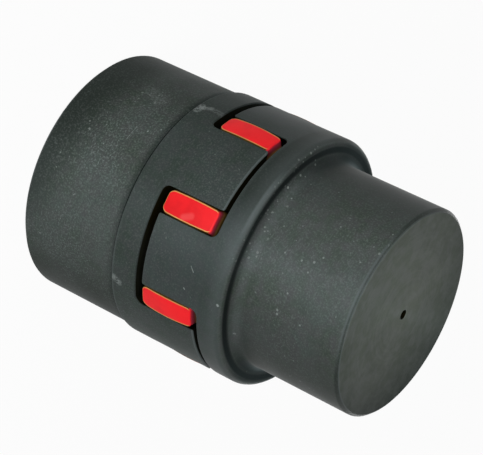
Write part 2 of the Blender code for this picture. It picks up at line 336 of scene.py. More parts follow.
large_hub = closed_surface("large_hub_casting", [turned_by(large_grid, LARGE_HUB_FIRST_CLAW)])
small_hub = closed_surface(
    "small_hub_casting", [upside_down(turned_by(small_grid, SMALL_HUB_FIRST_CLAW))]
)
for hub in (large_hub, small_hub):
    even_shading(hub)

# %% [markdown]
# ## The spider
# The spider is moulded in one piece: a ring with eight arms. An arm is crowned: its flanks and its
# tip swell a little in the middle and fall back towards the ends, which are well rounded. A
# bevelled cube would do for an arm, but not for its crown. So the outline of an arm is a function,
# and each height gets an outline that is drawn in as far as the crown asks for.

# %% Outline of an arm
SPIDER_MIDDLE = 56.5
SPIDER_HALF_WIDTH = 9.0
SPIDER_BORE_R = 19.0
SPIDER_RING_R = 25.75
RING_STEP = 0.5  # the ring is thinner than the arms by this much on each side
RING_STEP_R, RING_STEP_SLOPE = 27.0, 1.2  # where that step starts, and how far it slopes inwards
BORE_CHAMFER = 0.8
BORE_SPREAD = (0, 22.5), (5, 5.6), (12, 3.6), (21, 1.2)  # (column, degrees) of half an arm
ARM_ROOT_X = 25.5  # about where an arm leaves the ring
ARM_TIP_R = 40.15
ARM_TO_CLAW = 0.08
ARM_CROWN = 0.45
ARM_TIP_CROWN = 0.6
ARM_END_ROUND = (2.0, 1.3)  # at the large hub's end and at the small hub's
ARM_TIP_CORNER = 0.45
ARM_TIP_EDGE = 0.35
PAST_ELSEWHERE = 9.0  # what past_edge says on the ring and the pegs, far from any tip


def arm_outline(flank_inset, tip_inset):
    """Outline of one arm and its share of the ring, from one side's ring to the other's.

    The flank keeps a clearance to the claw's hollow arc, a small quarter circle turns the corner
    and an arc about the axis closes the tip. The second result is how far each point lies past the
    tip's edge, measured along the outline: below zero on the tip, above zero on the flank.
    """
    tip_r = ARM_TIP_R - tip_inset
    clear = ARM_TO_CLAW + flank_inset
    root_x = np.sqrt(SPIDER_RING_R**2 - (half_window(ARM_ROOT_X) - clear) ** 2)
    corner_y = half_window(tip_r - ARM_TIP_CORNER) - clear - ARM_TIP_CORNER
    corner_x = np.sqrt((tip_r - ARM_TIP_CORNER) ** 2 - corner_y**2)
    x = spread(root_x, corner_x, 16, closed=False)
    flank = np.stack([x, half_window(x) - clear], 1)
    flank[:, 1] += (flank[:, 0] - root_x) / (corner_x - root_x) * (
        corner_y + ARM_TIP_CORNER - (half_window(corner_x) - clear)
    )
    start = np.arctan2(flank[0, 1], flank[0, 0])
    a = spread(ARM_PITCH / 2, start, 5, closed=False)
    ring = SPIDER_RING_R * np.stack([np.cos(a), np.sin(a)], 1)
    lean = np.arctan2(corner_y, corner_x)
    t = np.linspace(np.pi / 2, lean, 6)
    corner = ARM_TIP_CORNER * np.stack([np.cos(t), np.sin(t)], 1) + (corner_x, corner_y)
    end = np.arctan2(corner[-1, 1], corner[-1, 0])
    a = spread(end, 0, 5)[1:]
    tip = np.hypot(*corner[-1]) * np.stack([np.cos(a), np.sin(a)], 1)
    side = np.concatenate([ring, flank, corner, tip])
    outline = np.concatenate([side, side[-2:0:-1] * (1, -1)])
    walked = np.concatenate([[0], np.cumsum(np.hypot(*np.diff(side, axis=0).T))])
    past = walked[len(ring) + len(flank) + len(corner) - 1] - walked
    return outline, np.concatenate([past, past[-2:0:-1]])


# %% [markdown]
# A grid fits again: columns go round the outline of all arms, and rows go from the bore over one
# face, down the crowned outside and back across the other face.

# %% Grid of the spider
def spider_grid():
    """Rows from the bore over the upper face, down the outside and back under the lower face.

    Flank and tip fall back by their crown times the square of the share of the way to the end, and
    quarter circles round their ends. A face is a straight blend from the outline to the bore.
    """
    def around_all(outline, height):
        """One arm's outline at a height, repeated for all arms."""
        points = np.column_stack([outline, np.full(len(outline), height)])
        return np.concatenate([turned_by(points, i * ARM_PITCH) for i in range(2 * CLAWS)][::-1])

    def half_rows(end_round):
        """Rows from the middle to one end: height, outline and distance past the tip's edge."""
        straight = SPIDER_HALF_WIDTH - end_round
        t = np.radians(np.linspace(0, 90, 7))[1:]
        rise = np.concatenate([np.linspace(0, straight, 6), straight + end_round * np.sin(t)])
        rounding = np.concatenate([np.zeros(6), end_round * (1 - np.cos(t))])
        away = (rise / SPIDER_HALF_WIDTH) ** 2
        past_end = np.clip(rise - (SPIDER_HALF_WIDTH - ARM_TIP_EDGE), 0, None)
        tip_edge = ARM_TIP_EDGE - np.sqrt(np.clip(ARM_TIP_EDGE**2 - past_end**2, 0, None))
        insets = zip(ARM_CROWN * away + rounding, ARM_TIP_CROWN * away + tip_edge)
        made = [arm_outline(flank, tip) for flank, tip in insets]
        rows = [around_all(outline, z) for z, (outline, _) in zip(rise, made)]
        return rows, [np.tile(measure, 2 * CLAWS) for _, measure in made]

    lower, lower_past = half_rows(ARM_END_ROUND[0])
    upper, upper_past = half_rows(ARM_END_ROUND[1])
    outer = upper[:0:-1] + [row * (1, 1, -1) for row in lower]
    past = upper_past[:0:-1] + lower_past

    count = len(outer[0]) // (2 * CLAWS)
    half = count // 2 + 1
    columns, degrees = zip(*BORE_SPREAD, (half - 1, 0))
    spot = np.interp(np.arange(half), columns, np.radians(degrees))
    share = np.concatenate([spot, -spot[-2:0:-1]])
    bore = np.stack([np.cos(share), np.sin(share)], 1)

    def face(w, edge):
        """A row at share w of the way from the outline's last row to the bore."""
        inner = around_all(bore * (SPIDER_BORE_R + BORE_CHAMFER), SPIDER_HALF_WIDTH)
        made = (1 - w) * edge + w * inner
        inside = RING_STEP_R - np.hypot(made[:, 0], made[:, 1])
        made[:, 2] = SPIDER_HALF_WIDTH - RING_STEP * np.clip(inside / RING_STEP_SLOPE, 0, 1)
        return made

    shares = np.linspace(1, 0, 9)[:-1]
    upper_face = [face(w, upper[-1]) for w in shares]
    lip = around_all(bore * SPIDER_BORE_R, SPIDER_HALF_WIDTH - RING_STEP - BORE_CHAMFER)
    bore_wall = [lip * (1, 1, z) for z in np.linspace(-1, 1, 5)]
    lower_face = [face(w, lower[-1]) * (1, 1, -1) for w in shares[::-1]]
    rows = bore_wall + upper_face + outer + lower_face + [bore_wall[0]]
    grid = np.stack(rows) + (0, 0, SPIDER_MIDDLE)

    flat = [np.full_like(past[0], PAST_ELSEWHERE)]
    measure = flat * (len(bore_wall) + len(upper_face)) + past + flat * (len(lower_face) + 1)
    return grid, np.stack(measure)


# %% [markdown]
# Four round pegs on each face of the ring keep the spider midway between the hubs. A peg is a
# cylinder with a softened rim, so it is a short profile turned about its own axis.

# %% Spacer pegs and the spider's mesh
SPACERS_PER_SIDE = 4
SPACER_R = 2.5
SPACER_X = (SPIDER_BORE_R + SPIDER_RING_R) / 2
SPACER_FOOT, SPACER_TOP = 6.0, 11.7  # from the spider's middle; the foot is hidden in the ring
SPACER_PROFILE = np.array([
    (0, SPACER_FOOT), (SPACER_R, SPACER_FOOT), (SPACER_R, SPACER_TOP - 0.4),
    (SPACER_R - 0.15, SPACER_TOP - 0.1), (SPACER_R - 0.4, SPACER_TOP), (0, SPACER_TOP),
])


def spacer_grid(angle, side):
    """A peg: its profile turned about its own axis, moved out, then turned to its angle."""
    t = spread(0, 2 * np.pi, 24, closed=False)
    r, z = SPACER_PROFILE[:, :1], SPACER_PROFILE[:, 1:]
    x, y = r * np.cos(t) + SPACER_X, r * np.sin(t)
    grid = np.stack([x, y, z * side + 0 * t], -1)
    return turned_by(grid, angle) + (0, 0, SPIDER_MIDDLE)


turns = spread(0, 2 * np.pi, SPACERS_PER_SIDE, closed=False)
pegs = [spacer_grid(turn, side) for turn in turns for side in (-1, 1)]
body, past_edge = spider_grid()
past_edge = [past_edge] + [np.full(peg.shape[:2], PAST_ELSEWHERE) for peg in pegs]
spider = closed_surface("spider_moulding", [body] + pegs, {"past_edge": past_edge})
even_shading(spider)

# %% [markdown]
# ## Shader maths in Python
# A finish is easier to read as a formula than as a web of wires. The class below wraps one output
# socket: adding, subtracting or multiplying two of them adds the matching Math node.

# %% Socket wrapper
class Value:
    """One output socket of a finish, on which Python's arithmetic builds Math nodes."""

    def __init__(self, finish, socket):
        self.finish, self.socket = finish, socket

    def maths(self, operation, *others, clamp=False):
        """A Math node of this value and the others."""
        values = dict(enumerate((self, *others)))
        return self.finish.node(
            "ShaderNodeMath", {"operation": operation, "use_clamp": clamp}, values
        )

    def __add__(self, other):
        return self.maths("ADD", other)

    def __mul__(self, other):
        return self.maths("MULTIPLY", other)

    def __sub__(self, other):
        return self.maths("SUBTRACT", other)

    def __rsub__(self, other):
        return (self * -1) + other

    def __truediv__(self, other):
        return self.maths("DIVIDE", other)

    __radd__, __rmul__ = __add__, __mul__

    def output(self, name):
        """Another output of the same node."""
        return Value(self.finish, self.socket.node.outputs[name])

    def ramp(self, low, high):
        """0 below low, 1 above high and smooth in between; high may be the smaller."""
        return self.finish.node(
            "ShaderNodeMapRange", {"interpolation_type": "SMOOTHSTEP"},
            {"Value": self, "From Min": low, "From Max": high},
        )

    def band(self, start, full, fading, end):
        """A ramp up from start to full, times a ramp down from fading to end."""
        return self.ramp(start, full) * self.ramp(end, fading)


def set_stops(elements, stops):
    """Fills a colour ramp with (position, colour) pairs."""
    for _ in stops[2:]:
        elements.new(0.5)
    for element, (position, colour) in zip(elements, stops):
        element.position, element.color = position, (*colour, 1)


class Finish:
    """A material with a Principled shader and the nodes that feed it."""

    def __init__(self, name, **constants):
        self.material = bpy.data.materials.new(name)
        self.material.use_nodes = True
        self.tree = self.material.node_tree
        self.shader = self.tree.nodes["Principled BSDF"]
        for key, value in constants.items():
            self.shader.inputs[key.replace("_", " ")].default_value = value
        self.place = self.node("ShaderNodeTexCoord", {}, {}, "Object")

    def node(self, kind, settings, values, output=0):
        """A node of a kind, its settings first, then the values or links of its sockets."""
        made = self.tree.nodes.new(kind)
        for key, value in settings.items():
            if key == "stops":
                set_stops(made.color_ramp.elements, value)
            else:
                setattr(made, key, value)
        for key, value in values.items():
            if isinstance(value, Value):
                self.tree.links.new(value.socket, made.inputs[key])
            else:
                made.inputs[key].default_value = value
        return Value(self, made.outputs[output])

    def noise(self, scale, detail, roughness, place=None):
        """A noise from 0 to 1 that repeats about scale times in a metre."""
        values = {"Vector": place or self.place, "Scale": scale, "Detail": detail,
                  "Roughness": roughness}
        return self.node("ShaderNodeTexNoise", {}, values, "Fac")

    def mix(self, factor, first, second):
        """Blends two colours; a plain colour is written as three numbers."""
        colours = {6: first, 7: second}
        for key, colour in colours.items():
            if not isinstance(colour, Value):
                colours[key] = (*colour, 1)
        settings = {"data_type": "RGBA", "clamp_factor": True}
        return self.node("ShaderNodeMix", settings, {0: factor, **colours}, 2)

    def feed(self, name, value):
        """Links a value to one of the shader's sockets."""
        self.tree.links.new(value.socket, self.shader.inputs[name])

    def bump(self, height, depth):
        """Bump of a depth in millimetres for a height that runs from 0 to 1."""
        values = {"Height": height, "Distance": depth * MM, "Strength": 1.0}
        return self.node("ShaderNodeBump", {}, values, "Normal")


# %% [markdown]
# ## Where a point lies
# On the real coupling the marks follow the lathe and the hand: they lie at a height, at a radius or
# some way round the ring. A painted texture would need an unwrapped surface for that. Object
# coordinates give the same for nothing, as soon as they are turned into these measures.

# %% Place and strokes
def located(finish):
    """A point's x, y, z and radius, and the way round the ring to it, all in millimetres.

    The radius is the root of x squared plus y squared, and the way round is the angle times the
    ring's radius. Unrolled holds the way round and the height, as on a label peeled off the ring.
    """
    parts = finish.node("ShaderNodeSeparateXYZ", {}, {"Vector": finish.place}, "X")
    at = SimpleNamespace(x=parts / MM, y=parts.output("Y") / MM, z=parts.output("Z") / MM)
    at.radius = (at.x * at.x + at.y * at.y).maths("SQRT")
    at.around = at.y.maths("ARCTAN2", at.x) * RING_R
    at.unrolled = finish.node("ShaderNodeCombineXYZ", {}, {"X": at.around, "Y": at.z})
    return at


def stroke(finish, at, start, end, width):
    """Cover of a straight stroke on the unrolled surface: 1 on the segment, 0 at its width.

    Start and end are an azimuth in degrees and a height. The nearest point of the segment is start
    plus a clamped share of the way to its end.
    """
    start, end = (
        Vector((np.radians(azimuth - 360) * RING_R, height, 0)) for azimuth, height in (start, end)
    )
    way = end - start

    def vectors(operation, first, values, output="Vector"):
        """A Vector Math node of a first vector and the other inputs."""
        settings = {"operation": operation}
        return finish.node("ShaderNodeVectorMath", settings, {0: first, **values}, output)

    from_start = vectors("SUBTRACT", at.unrolled, {1: start})
    share = vectors("DOT_PRODUCT", from_start, {1: way / way.length_squared}, "Value")
    share = share.maths("ADD", 0.0, clamp=True)
    whole_way = finish.node("ShaderNodeCombineXYZ", {}, {"X": way.x, "Y": way.y})
    nearest = vectors("SCALE", whole_way, {"Scale": share})
    return vectors("DISTANCE", from_start, {1: nearest}, "Value").ramp(width, width * 0.3)


# %% [markdown]
# ## Coated cast iron
# The hubs are cast iron with a thin dark coat: a dark grey with a little green, matte, and never
# quite even. One tiled image could show that, but its repeats would be seen and it would blur close
# up. Here the coat is laid on in layers: the casting, the lathe, the dust of the shelf, the marks
# of handling, and painted shade, painted shadow and painted highlights. Every layer reads the same
# few noises, each at its own scale.
#
# Turning marks are a noise that hardly changes across the axis but quickly along radius and height.

# %% The iron that every layer reads
class CastIron(Finish):
    """Coated iron of one hub: its place, masks and noises, and the colour laid so far.

    Masks are four functions of the place: painted shadow and painted shade darken the coat,
    painted highlights and wear lighten it, and lint gathers pale crumbs. Grit is how rough the
    casting is, from 0 to 1.
    """

    def __init__(self, name, colour, seed, grit, masks):
        super().__init__(
            name, IOR=1.5, Specular_IOR_Level=0.26, Anisotropic=0.8,
            Anisotropic_Rotation=0.25, Specular_Tint=(0.82, 0.98, 1.0, 1),
        )
        self.colour, self.grit = colour, grit
        self.at = at = located(self)
        self.soot, self.shade, self.wear, self.lint = (mask(at) for mask in masks)
        self.lit = 1 - self.shade * 0.5
        self.on_ring = at.radius.ramp(RING_R - 0.8, RING_R - 0.3)
        half = COUPLING_LENGTH / 2
        self.end_faces = (at.z - half).maths("ABSOLUTE").ramp(half - 0.10, half - 0.02)

        self.moved = moved = self.node("ShaderNodeMapping", {}, {
            "Vector": self.place, "Location": (seed, seed * 0.7, seed * 0.3),
        })
        along_cuts = self.node("ShaderNodeCombineXYZ", {}, {
            "X": at.x * 0.02, "Y": at.y * 0.02, "Z": (at.radius + at.z) * 1.2,
        })
        self.blotch = self.noise(70, 3, 0.5, moved).ramp(0.34, 0.66)
        self.tint = self.noise(330, 1, 0.4, moved).ramp(0.32, 0.68)
        self.turned = self.noise(1, 3, 0.6, along_cuts)
        self.grain = self.noise(1900, 2, 0.6, moved)
        self.pits = self.noise(900, 4, 0.6, moved)
        self.dusty = self.noise(38, 2, 0.5, moved).ramp(0.42, 0.62) * at.x.ramp(-34, -14)
        self.base = self.mix(self.blotch, self.own(0.82, 0.86, 0.76), self.own(1.16, 1.12, 1.24))

    def own(self, *factors):
        """The iron's own colour, each channel times its factor."""
        return tuple(c * k for c, k in zip(self.colour, factors))

    def lay(self, cover, colour):
        """Lays a colour over what is there, as far as it covers."""
        self.base = self.mix(cover, self.base, colour)


# %% [markdown]
# The specks are the centres of Voronoi cells: each cell draws a chance, and only the luckiest get a
# speck, so their number and their size can be set apart from each other.

# %% Layers of the coat
GRAIN_LIGHT, GRAIN_DARK = (0.132, 0.150, 0.144), (0.006, 0.006, 0.006)
SPECK = (0.19, 0.215, 0.205)
LINT = (0.24, 0.27, 0.25)
# Pale colour for painted highlights, and for some wear on the chamfers.
WORN_AND_HIGHLIGHT = (0.095, 0.112, 0.112)


def lay_coat(iron):
    """A second tint, turning marks, a darker ring, the shaded sides, and grain, light and dark."""
    iron.lay(iron.tint * 0.8, iron.own(1.34, 1.04, 1.28))
    iron.lay(iron.turned.ramp(0.3, 0.7) * 0.3, iron.own(1.4, 1.4, 1.4))
    iron.lay(iron.on_ring * (0.59 - 0.3 * iron.grit), iron.own(0.20, 0.28, 0.36))
    # Painted shade: the shade masks darken the sides, the ring in front and the chamfers.
    iron.lay(iron.shade, iron.own(0.14, 0.17, 0.12))
    rough_cast = (1 - iron.on_ring * 0.45) * iron.grit
    lively = rough_cast * iron.lit * (iron.dusty * 0.5 + 0.8)
    iron.lay(iron.grain.ramp(0.45, 0.85) * lively, GRAIN_LIGHT)
    iron.lay(iron.grain.ramp(0.50, 0.20) * rough_cast * 0.7, GRAIN_DARK)


def dust(iron, scale, share, size, amount):
    """Specks at the centres of some Voronoi cells: how much each point is covered, from 0 to 1.

    A share of the cells has a speck, whose radius grows to size, in cells, with the cell's chance.
    """
    values = {"Vector": iron.moved, "Scale": scale}
    cell = iron.node("ShaderNodeTexVoronoi", {}, values, "Distance")
    chance = iron.node("ShaderNodeSeparateColor", {}, {"Color": cell.output("Color")}, "Red")
    radius = (chance - (1 - share)).maths("MAXIMUM", 0.0) * (size / share) * amount
    return (radius - cell).ramp(0.0, 0.10)


def lay_specks(iron, dusting):
    """Fine and coarse pale specks, lint crumbs, painted highlights and wear. Returns the specks."""
    fine = dust(iron, 2100, 0.25, 0.42, iron.dusty * 0.7 + 0.3)
    coarse = dust(iron, 900, 0.10, 0.46, iron.dusty * 0.8 + 0.2)
    kept = (1 - iron.on_ring * 0.6) * (1 - iron.end_faces) * iron.lit
    specks = (fine * iron.grit * 0.8).maths("MAXIMUM", coarse) * kept
    iron.lay(specks * dusting, SPECK)
    iron.lay(dust(iron, 830, 0.70, 0.40, 1.0) * iron.lint * 0.7, LINT)
    # Painted highlights on edges and patches, with wear on the chamfers.
    iron.lay(iron.wear, WORN_AND_HIGHLIGHT)
    return specks


# %% [markdown]
# The end faces are paler, and painted light makes them palest in the middle and towards one side.
# The claws' hidden sides and the drill marks see hardly any light and are laid in nearly black.

# %% Layers of the end faces, the scuffs and the black places
SCUFF = (0.26, 0.29, 0.28)
# Painted shade: the gap inside the ring and the drill mark are laid nearly black.
GAP_SHADE_BLACK = (0.0060, 0.0050, 0.0012)
# Painted shadow: nearly black where a corner is shaded.
SHADOW_BLACK = (0.0040, 0.0056, 0.0056)
DRILL_MARK_R = DRILL_MARK[-1][0]


def lay_end_faces(iron):
    """Dark at first, then painted light, less at the rim and on both sides, and tone on blotches.
    """
    at = iron.at
    # Painted light: palest in the middle, less at the rim and to both sides, with random tone.
    end_face_light_and_tone = 0.63 - at.radius * 0.0116 - at.x * 0.0045 - at.y * 0.0052
    end_face_light_and_tone = end_face_light_and_tone - at.x.ramp(-16, -36) * 0.16 - (at.x + at.y * 0.5).ramp(12, 32) * 0.09
    end_face_light_and_tone = end_face_light_and_tone + iron.blotch * 0.07 + iron.tint * 0.08 + iron.pits * 0.2 - 0.1
    end_face_light_and_tone = end_face_light_and_tone * (iron.turned * 0.4 + 0.8)
    lathe_tone = iron.mix(iron.tint, iron.own(7.1, 6.2, 6.2), iron.own(7.5, 6.3, 6.9))
    iron.lay(iron.end_faces, iron.own(0.5, 0.5, 0.5))
    iron.lay(iron.end_faces * end_face_light_and_tone, lathe_tone)


def lay_scuffs(iron, strokes):
    """Strokes (start, end, width, strength) that only the higher grain has caught."""
    high_grain = (iron.pits * 0.4 + iron.grain * 0.6).ramp(0.38, 0.54)
    for start, end, width, strength in strokes:
        iron.lay(stroke(iron, iron.at, start, end, width) * high_grain * strength, SCUFF)


def lay_black(iron, outer_end):
    """Painted shade in near black: the gap between the hubs inside the ring, the drill mark and
    the painted shadow. Returns all three.
    """
    at, other_face = iron.at, COUPLING_LENGTH - HUB_LENGTH
    between = at.z.band(HUB_LENGTH - 1.0, HUB_LENGTH - 0.4, other_face + 0.4, other_face + 1.0)
    # Painted shade in the gap between the hubs and in the drill mark.
    shut_in = at.radius.ramp(RING_R - 0.38, RING_R - 0.7) * between
    in_mark = at.radius.ramp(DRILL_MARK_R, DRILL_MARK_R - 0.15)
    in_mark = in_mark * (at.z - outer_end).maths("ABSOLUTE").ramp(3.5, 2.8)
    black = (shut_in * (1 - iron.wear)).maths("MAXIMUM", in_mark)
    iron.lay(black, GAP_SHADE_BLACK)
    # Painted shadow, nearly black, from the shadow and shade masks.
    iron.lay(iron.soot, SHADOW_BLACK)
    return black.maths("MAXIMUM", iron.soot)


def iron_finish(name, colour, seed, grit, dusting, masks, strokes, outer_end):
    """Lays all layers and feeds the shader. Dusting is how strongly the pale specks cover."""
    iron = CastIron(name, colour, seed, grit, masks)
    lay_coat(iron)
    specks = lay_specks(iron, dusting)
    lay_end_faces(iron)
    lay_scuffs(iron, strokes)
    black = lay_black(iron, outer_end)
    iron.feed("Base Color", iron.base)
    iron.feed("Metallic", black)
    matte = iron.grain * (0.24 * grit) + iron.blotch * -0.05 + (0.49 + 0.2 * grit)
    iron.feed("Roughness", matte + specks * 0.15 + iron.end_faces * 0.2 + black * 0.3)
    iron.feed("Normal", iron.bump(iron.pits * 0.5 + iron.grain * 0.5, 0.035 * (0.4 + grit)))
    print(name, "has", len(iron.tree.nodes), "nodes")
    return iron.material


# %% [markdown]
# Painted shadow lies in the corners, painted shade darkens the sides and the chamfers, and painted
# highlights, with some wear on the chamfers, lie on edges and patches. Each mask is a product of
# ramps in millimetres, by height, by radius and by side.

# %% Masks of both hubs' chamfers
def chamfer_band(at, body_r, outer_end):
    """The chamfer round a hub's outer end."""
    at_end = (at.z - outer_end).maths("ABSOLUTE").ramp(1.3, 0.9)
    return at_end * at.radius.ramp(body_r - 0.9, body_r - 0.6)


def chamfer_edge(at, body_r, chamfer, outer_end):
    """Worn inner chamfer edge, 0.6 mm wide, and a painted highlight on the outer edge in front."""
    depth = (at.z - outer_end).maths("ABSOLUTE")
    inner = body_r - chamfer
    line = at.radius.band(inner - 0.5, inner - 0.1, inner + 0.1, inner + 0.4)
    outer = chamfer_band(at, body_r, outer_end) * depth.ramp(0.45, 0.75)
    # Painted highlight on the chamfer's outer edge, in front only.
    front = outer * at.x.maths("ABSOLUTE").ramp(24, 12)
    return line * depth.ramp(0.5, 0.2) * 0.4 + front * 0.42


def chamfer_shade(at, body_r, outer_end):
    """A chamfer is darker than the faces that meet on it, most of all to both sides."""
    sides = at.x.maths("ABSOLUTE").ramp(14, 27)
    return chamfer_band(at, body_r, outer_end) * (sides * 0.5 + 0.35)


# %% [markdown]
# On the large hub a painted shadow lies under the step, and painted shade darkens both sides, the
# ring in front and the chamfer; the coat is darker from the outer end inwards. Paint on the mesh
# would be quicker, but lost whenever the mesh changes.

# %% Masks of the large hub
STEP = LARGE_RING_BACK  # height of the step from body to ring
CLAW_TIPS = HUB_LENGTH + LARGE_CLAW_HEIGHT


# Painted shadow: the ring's step shades the body below it.
def shadow_under_the_step(at):
    """Painted shadow where the body meets the ring: a broad soft band and a narrow dark one."""
    band = at.z.ramp(STEP - 3.4, STEP - 0.6) * 0.4 + at.z.ramp(STEP - 0.8, STEP - 0.4) * 0.5
    return band * at.z.ramp(STEP + 0.2, STEP) * (1 - at.x.ramp(2, 22) * 0.6)


# Painted shade on the sides, on the ring in front and on the chamfer; darker towards the outer end.
def large_painted_shade(at):
    """Painted shade on both sides, the ring in front and the chamfer; darker towards the outer end.
    """
    off_ring, on_ring = at.radius.ramp(39.6, 39.2), at.radius.ramp(39.2, 39.6)
    outer = (at.z + at.x * 0.2).ramp(18.5, 1.5) * at.x.ramp(30, 12) * 0.97
    sides = at.x.ramp(-14, -34) + at.x.ramp(16, 36) * off_ring
    sides = (sides + at.x.ramp(28, 37) * at.z.ramp(STEP - 0.3, STEP - 0.9)) * 0.45
    front = at.x.band(-12, -2, 6, 16) * on_ring * at.z.ramp(HUB_LENGTH + 2, HUB_LENGTH - 1)
    dark = outer.maths("MAXIMUM", sides + front * 0.2)
    return dark.maths("MAXIMUM", chamfer_shade(at, LARGE_BODY_R, 0))


# Painted highlights on the claw tips, the ring's back edge and a body patch.
def large_highlights_and_wear(at):
    """Painted highlights: claw tips, the ring's back edge, a patch on the body; the chamfer's
    edges.
    """
    tips = at.z.ramp(CLAW_TIPS - TIP_EDGE, CLAW_TIPS - 0.35) * at.radius.ramp(39.3, 39.55)
    ring = at.z.band(STEP - 0.1, STEP + 0.1, STEP + 0.6, STEP + 1.1) * at.radius.ramp(39.3, 39.6)
    highlight_patch = at.x.band(6, 17, 26, 36) * at.radius.ramp(39.4, 39.1) * at.y.ramp(8, -8)
    edges = tips * 0.55 + ring * at.x.ramp(4, 20) * 0.22 + highlight_patch * 0.10
    return edges + chamfer_edge(at, LARGE_BODY_R, LARGE_CHAMFER, 0)


def large_lint(at):
    """One loose patch of lint on the body."""
    return at.around.band(-98, -94, -90, -84) * at.z.band(15, 19, 25, 29) * 0.45


# %% [markdown]
# On the small hub the back of the ring is the deepest corner that can be seen, so painted shade
# and the lint lie there, between the ring and the fillet.

# %% Masks of the small hub
VALLEY = COUPLING_LENGTH - SMALL_RING_BACK  # height at which the ring ends and the fillet starts


# Painted shade behind the ring, on the flat and at the fillet's foot.
def shade_behind_the_ring(at):
    """Painted shade: the flat between ring and fillet, the fillet's foot, and more on one side."""
    flat = at.radius.band(34.8, 36.4, 37.4, 38.6) * at.z.ramp(VALLEY - 0.7, VALLEY - 0.3) * 0.85
    foot = at.z.band(VALLEY - 0.7, VALLEY + 0.3, VALLEY + 0.7, VALLEY + 3.1) * at.y.ramp(-22, -2)
    side = at.z.band(VALLEY - 0.7, VALLEY + 0.3, VALLEY + 0.9, VALLEY + 4.6) * at.x.ramp(-17, -30)
    return flat.maths("MAXIMUM", foot * 0.75).maths("MAXIMUM", side * 0.5)


# Painted shade on one side of the ring and on both sides of the body.
def small_painted_shade(at):
    """Painted shade: one side of the ring, both sides of the body, and the chamfer."""
    ring = at.x.ramp(-2, -14) * at.z.ramp(67.5, 69.5) * 0.80
    ring = ring.maths("MAXIMUM", at.x.ramp(-16, -36) * 0.45) * at.radius.ramp(39, 39.6)
    side = at.x.maths("ABSOLUTE")
    side = (side.ramp(12, 29) * 0.5 + side.ramp(24, 32) * 0.45) * at.z.ramp(76, 80)
    side = side * at.radius.ramp(SMALL_BODY_R + 1, SMALL_BODY_R + 0.3)
    return (ring + side).maths("MAXIMUM", chamfer_shade(at, SMALL_BODY_R, COUPLING_LENGTH))


# Painted highlights on the ring's back edge, its glint, the fillet and a patch.
def small_highlights_and_wear(at):
    """Painted highlights: the ring's back edge with a glint, the fillet, a patch, the chamfer."""
    ring = at.z.ramp(69.0, VALLEY - 0.7) * at.radius.ramp(38.6, 39.3) * at.y.ramp(-6, -20)
    glint = at.z.ramp(VALLEY - 1.7, VALLEY - 0.9) * at.radius.ramp(38.3, 38.9)
    glint = glint * at.x.band(-24, -13, -7, 4)
    fillet = at.z.band(VALLEY + 0.3, VALLEY + 1.1, VALLEY + 2.1, VALLEY + 4.6)
    fillet = fillet * at.radius.ramp(36.2, 35.2) * at.y.ramp(-12, -24)
    highlight_patch = at.x.band(-19, -8, 0, 10) * at.y.ramp(8, -8)
    highlight_patch = highlight_patch * at.radius.ramp(SMALL_BODY_R + 1, SMALL_BODY_R + 0.2)
    edges = ring * 0.20 + glint * 0.45 + fillet * 0.12 + highlight_patch * 0.08
    return edges + chamfer_edge(at, SMALL_BODY_R, SMALL_CHAMFER, COUPLING_LENGTH)


def small_lint(at):
    """Lint in the valley behind the ring, thicker towards one end."""
    valley = at.z.band(VALLEY - 1.3, VALLEY - 0.1, VALLEY + 2.1, VALLEY + 5.1)
    valley = valley * at.around.ramp(-105, -101)
    return valley * (at.around.ramp(-79, -86) * 0.4 + at.around.ramp(-40, -70) * 0.6)


# %% [markdown]
# The strokes are the few scuffs and hairlines that can be told apart. Each has its two ends, by
# their azimuth in degrees and their height, then its width and its strength.

# %% Iron of the two hubs
LARGE_HUB_STROKES = (
    ((226.0, 37.4), (222.6, 37.4), 1.60, 0.45),
    ((223.2, 38.6), (221.6, 40.2), 1.20, 0.32),
    ((221.6, 40.6), (222.4, 45.6), 1.40, 0.16),
    ((312.9, 37.0), (314.4, 38.9), 1.60, 0.34),
    ((253.7, 25.2), (246.4, 25.5), 0.16, 0.40),
    ((285.4, 17.5), (286.1, 17.0), 0.24, 0.50),
    ((225.5, 19.5), (228.5, 25.0), 3.00, 0.10),
)
SMALL_HUB_STROKES = (
    ((290.6, 63.5), (292.6, 64.7), 0.20, 0.45),
    ((301.1, 62.6), (301.5, 62.9), 0.30, 0.55),
    ((286.9, 47.1), (287.8, 47.6), 0.25, 0.40),
    ((301.3, 74.7), (301.7, 74.9), 0.45, 0.60),
    ((321.0, 76.9), (321.5, 77.1), 0.35, 0.50),
    ((292.6, 82.0), (292.9, 82.2), 0.30, 0.50),
)

large_iron = iron_finish(
    "large_hub_iron", colour=(0.0264, 0.0357, 0.0285), seed=0.31, grit=0.62, dusting=0.7,
    masks=(shadow_under_the_step, large_painted_shade, large_highlights_and_wear, large_lint),
    strokes=LARGE_HUB_STROKES, outer_end=0,
)
small_iron = iron_finish(
    "small_hub_iron", colour=(0.0292, 0.0382, 0.0318), seed=0.77, grit=0.34, dusting=0.55,
    masks=(shade_behind_the_ring, small_painted_shade, small_highlights_and_wear, small_lint),
    strokes=SMALL_HUB_STROKES, outer_end=COUPLING_LENGTH,
)
large_hub.data.materials.append(large_iron)
small_hub.data.materials.append(small_iron)

# %% [markdown]
# ## Red elastomer
# The spider is polyurethane: saturated red, smooth, with a soft sheen. Round each arm's outer face
# the moulding's edge catches the light as a thin golden line, and the flanks behind it are painted
# in a dark olive shade. Painted light makes the arms to both sides lighter, a painted highlight
# lies on the middle arm, and painted shade darkens the ends with depth. Three materials on
# three sets of faces would give hard borders. Instead the mesh keeps how far each point lies past
# the tip's edge, and one material blends its colours by that number and by the depth under the
# crowned tip.

# %% Elastomer finish
FACE_DEEP, FACE_BRIGHT = (0.55, 0.0065, 0.0100), (0.74, 0.0095, 0.0140)
GOLD = (0.50, 0.24, 0.072)
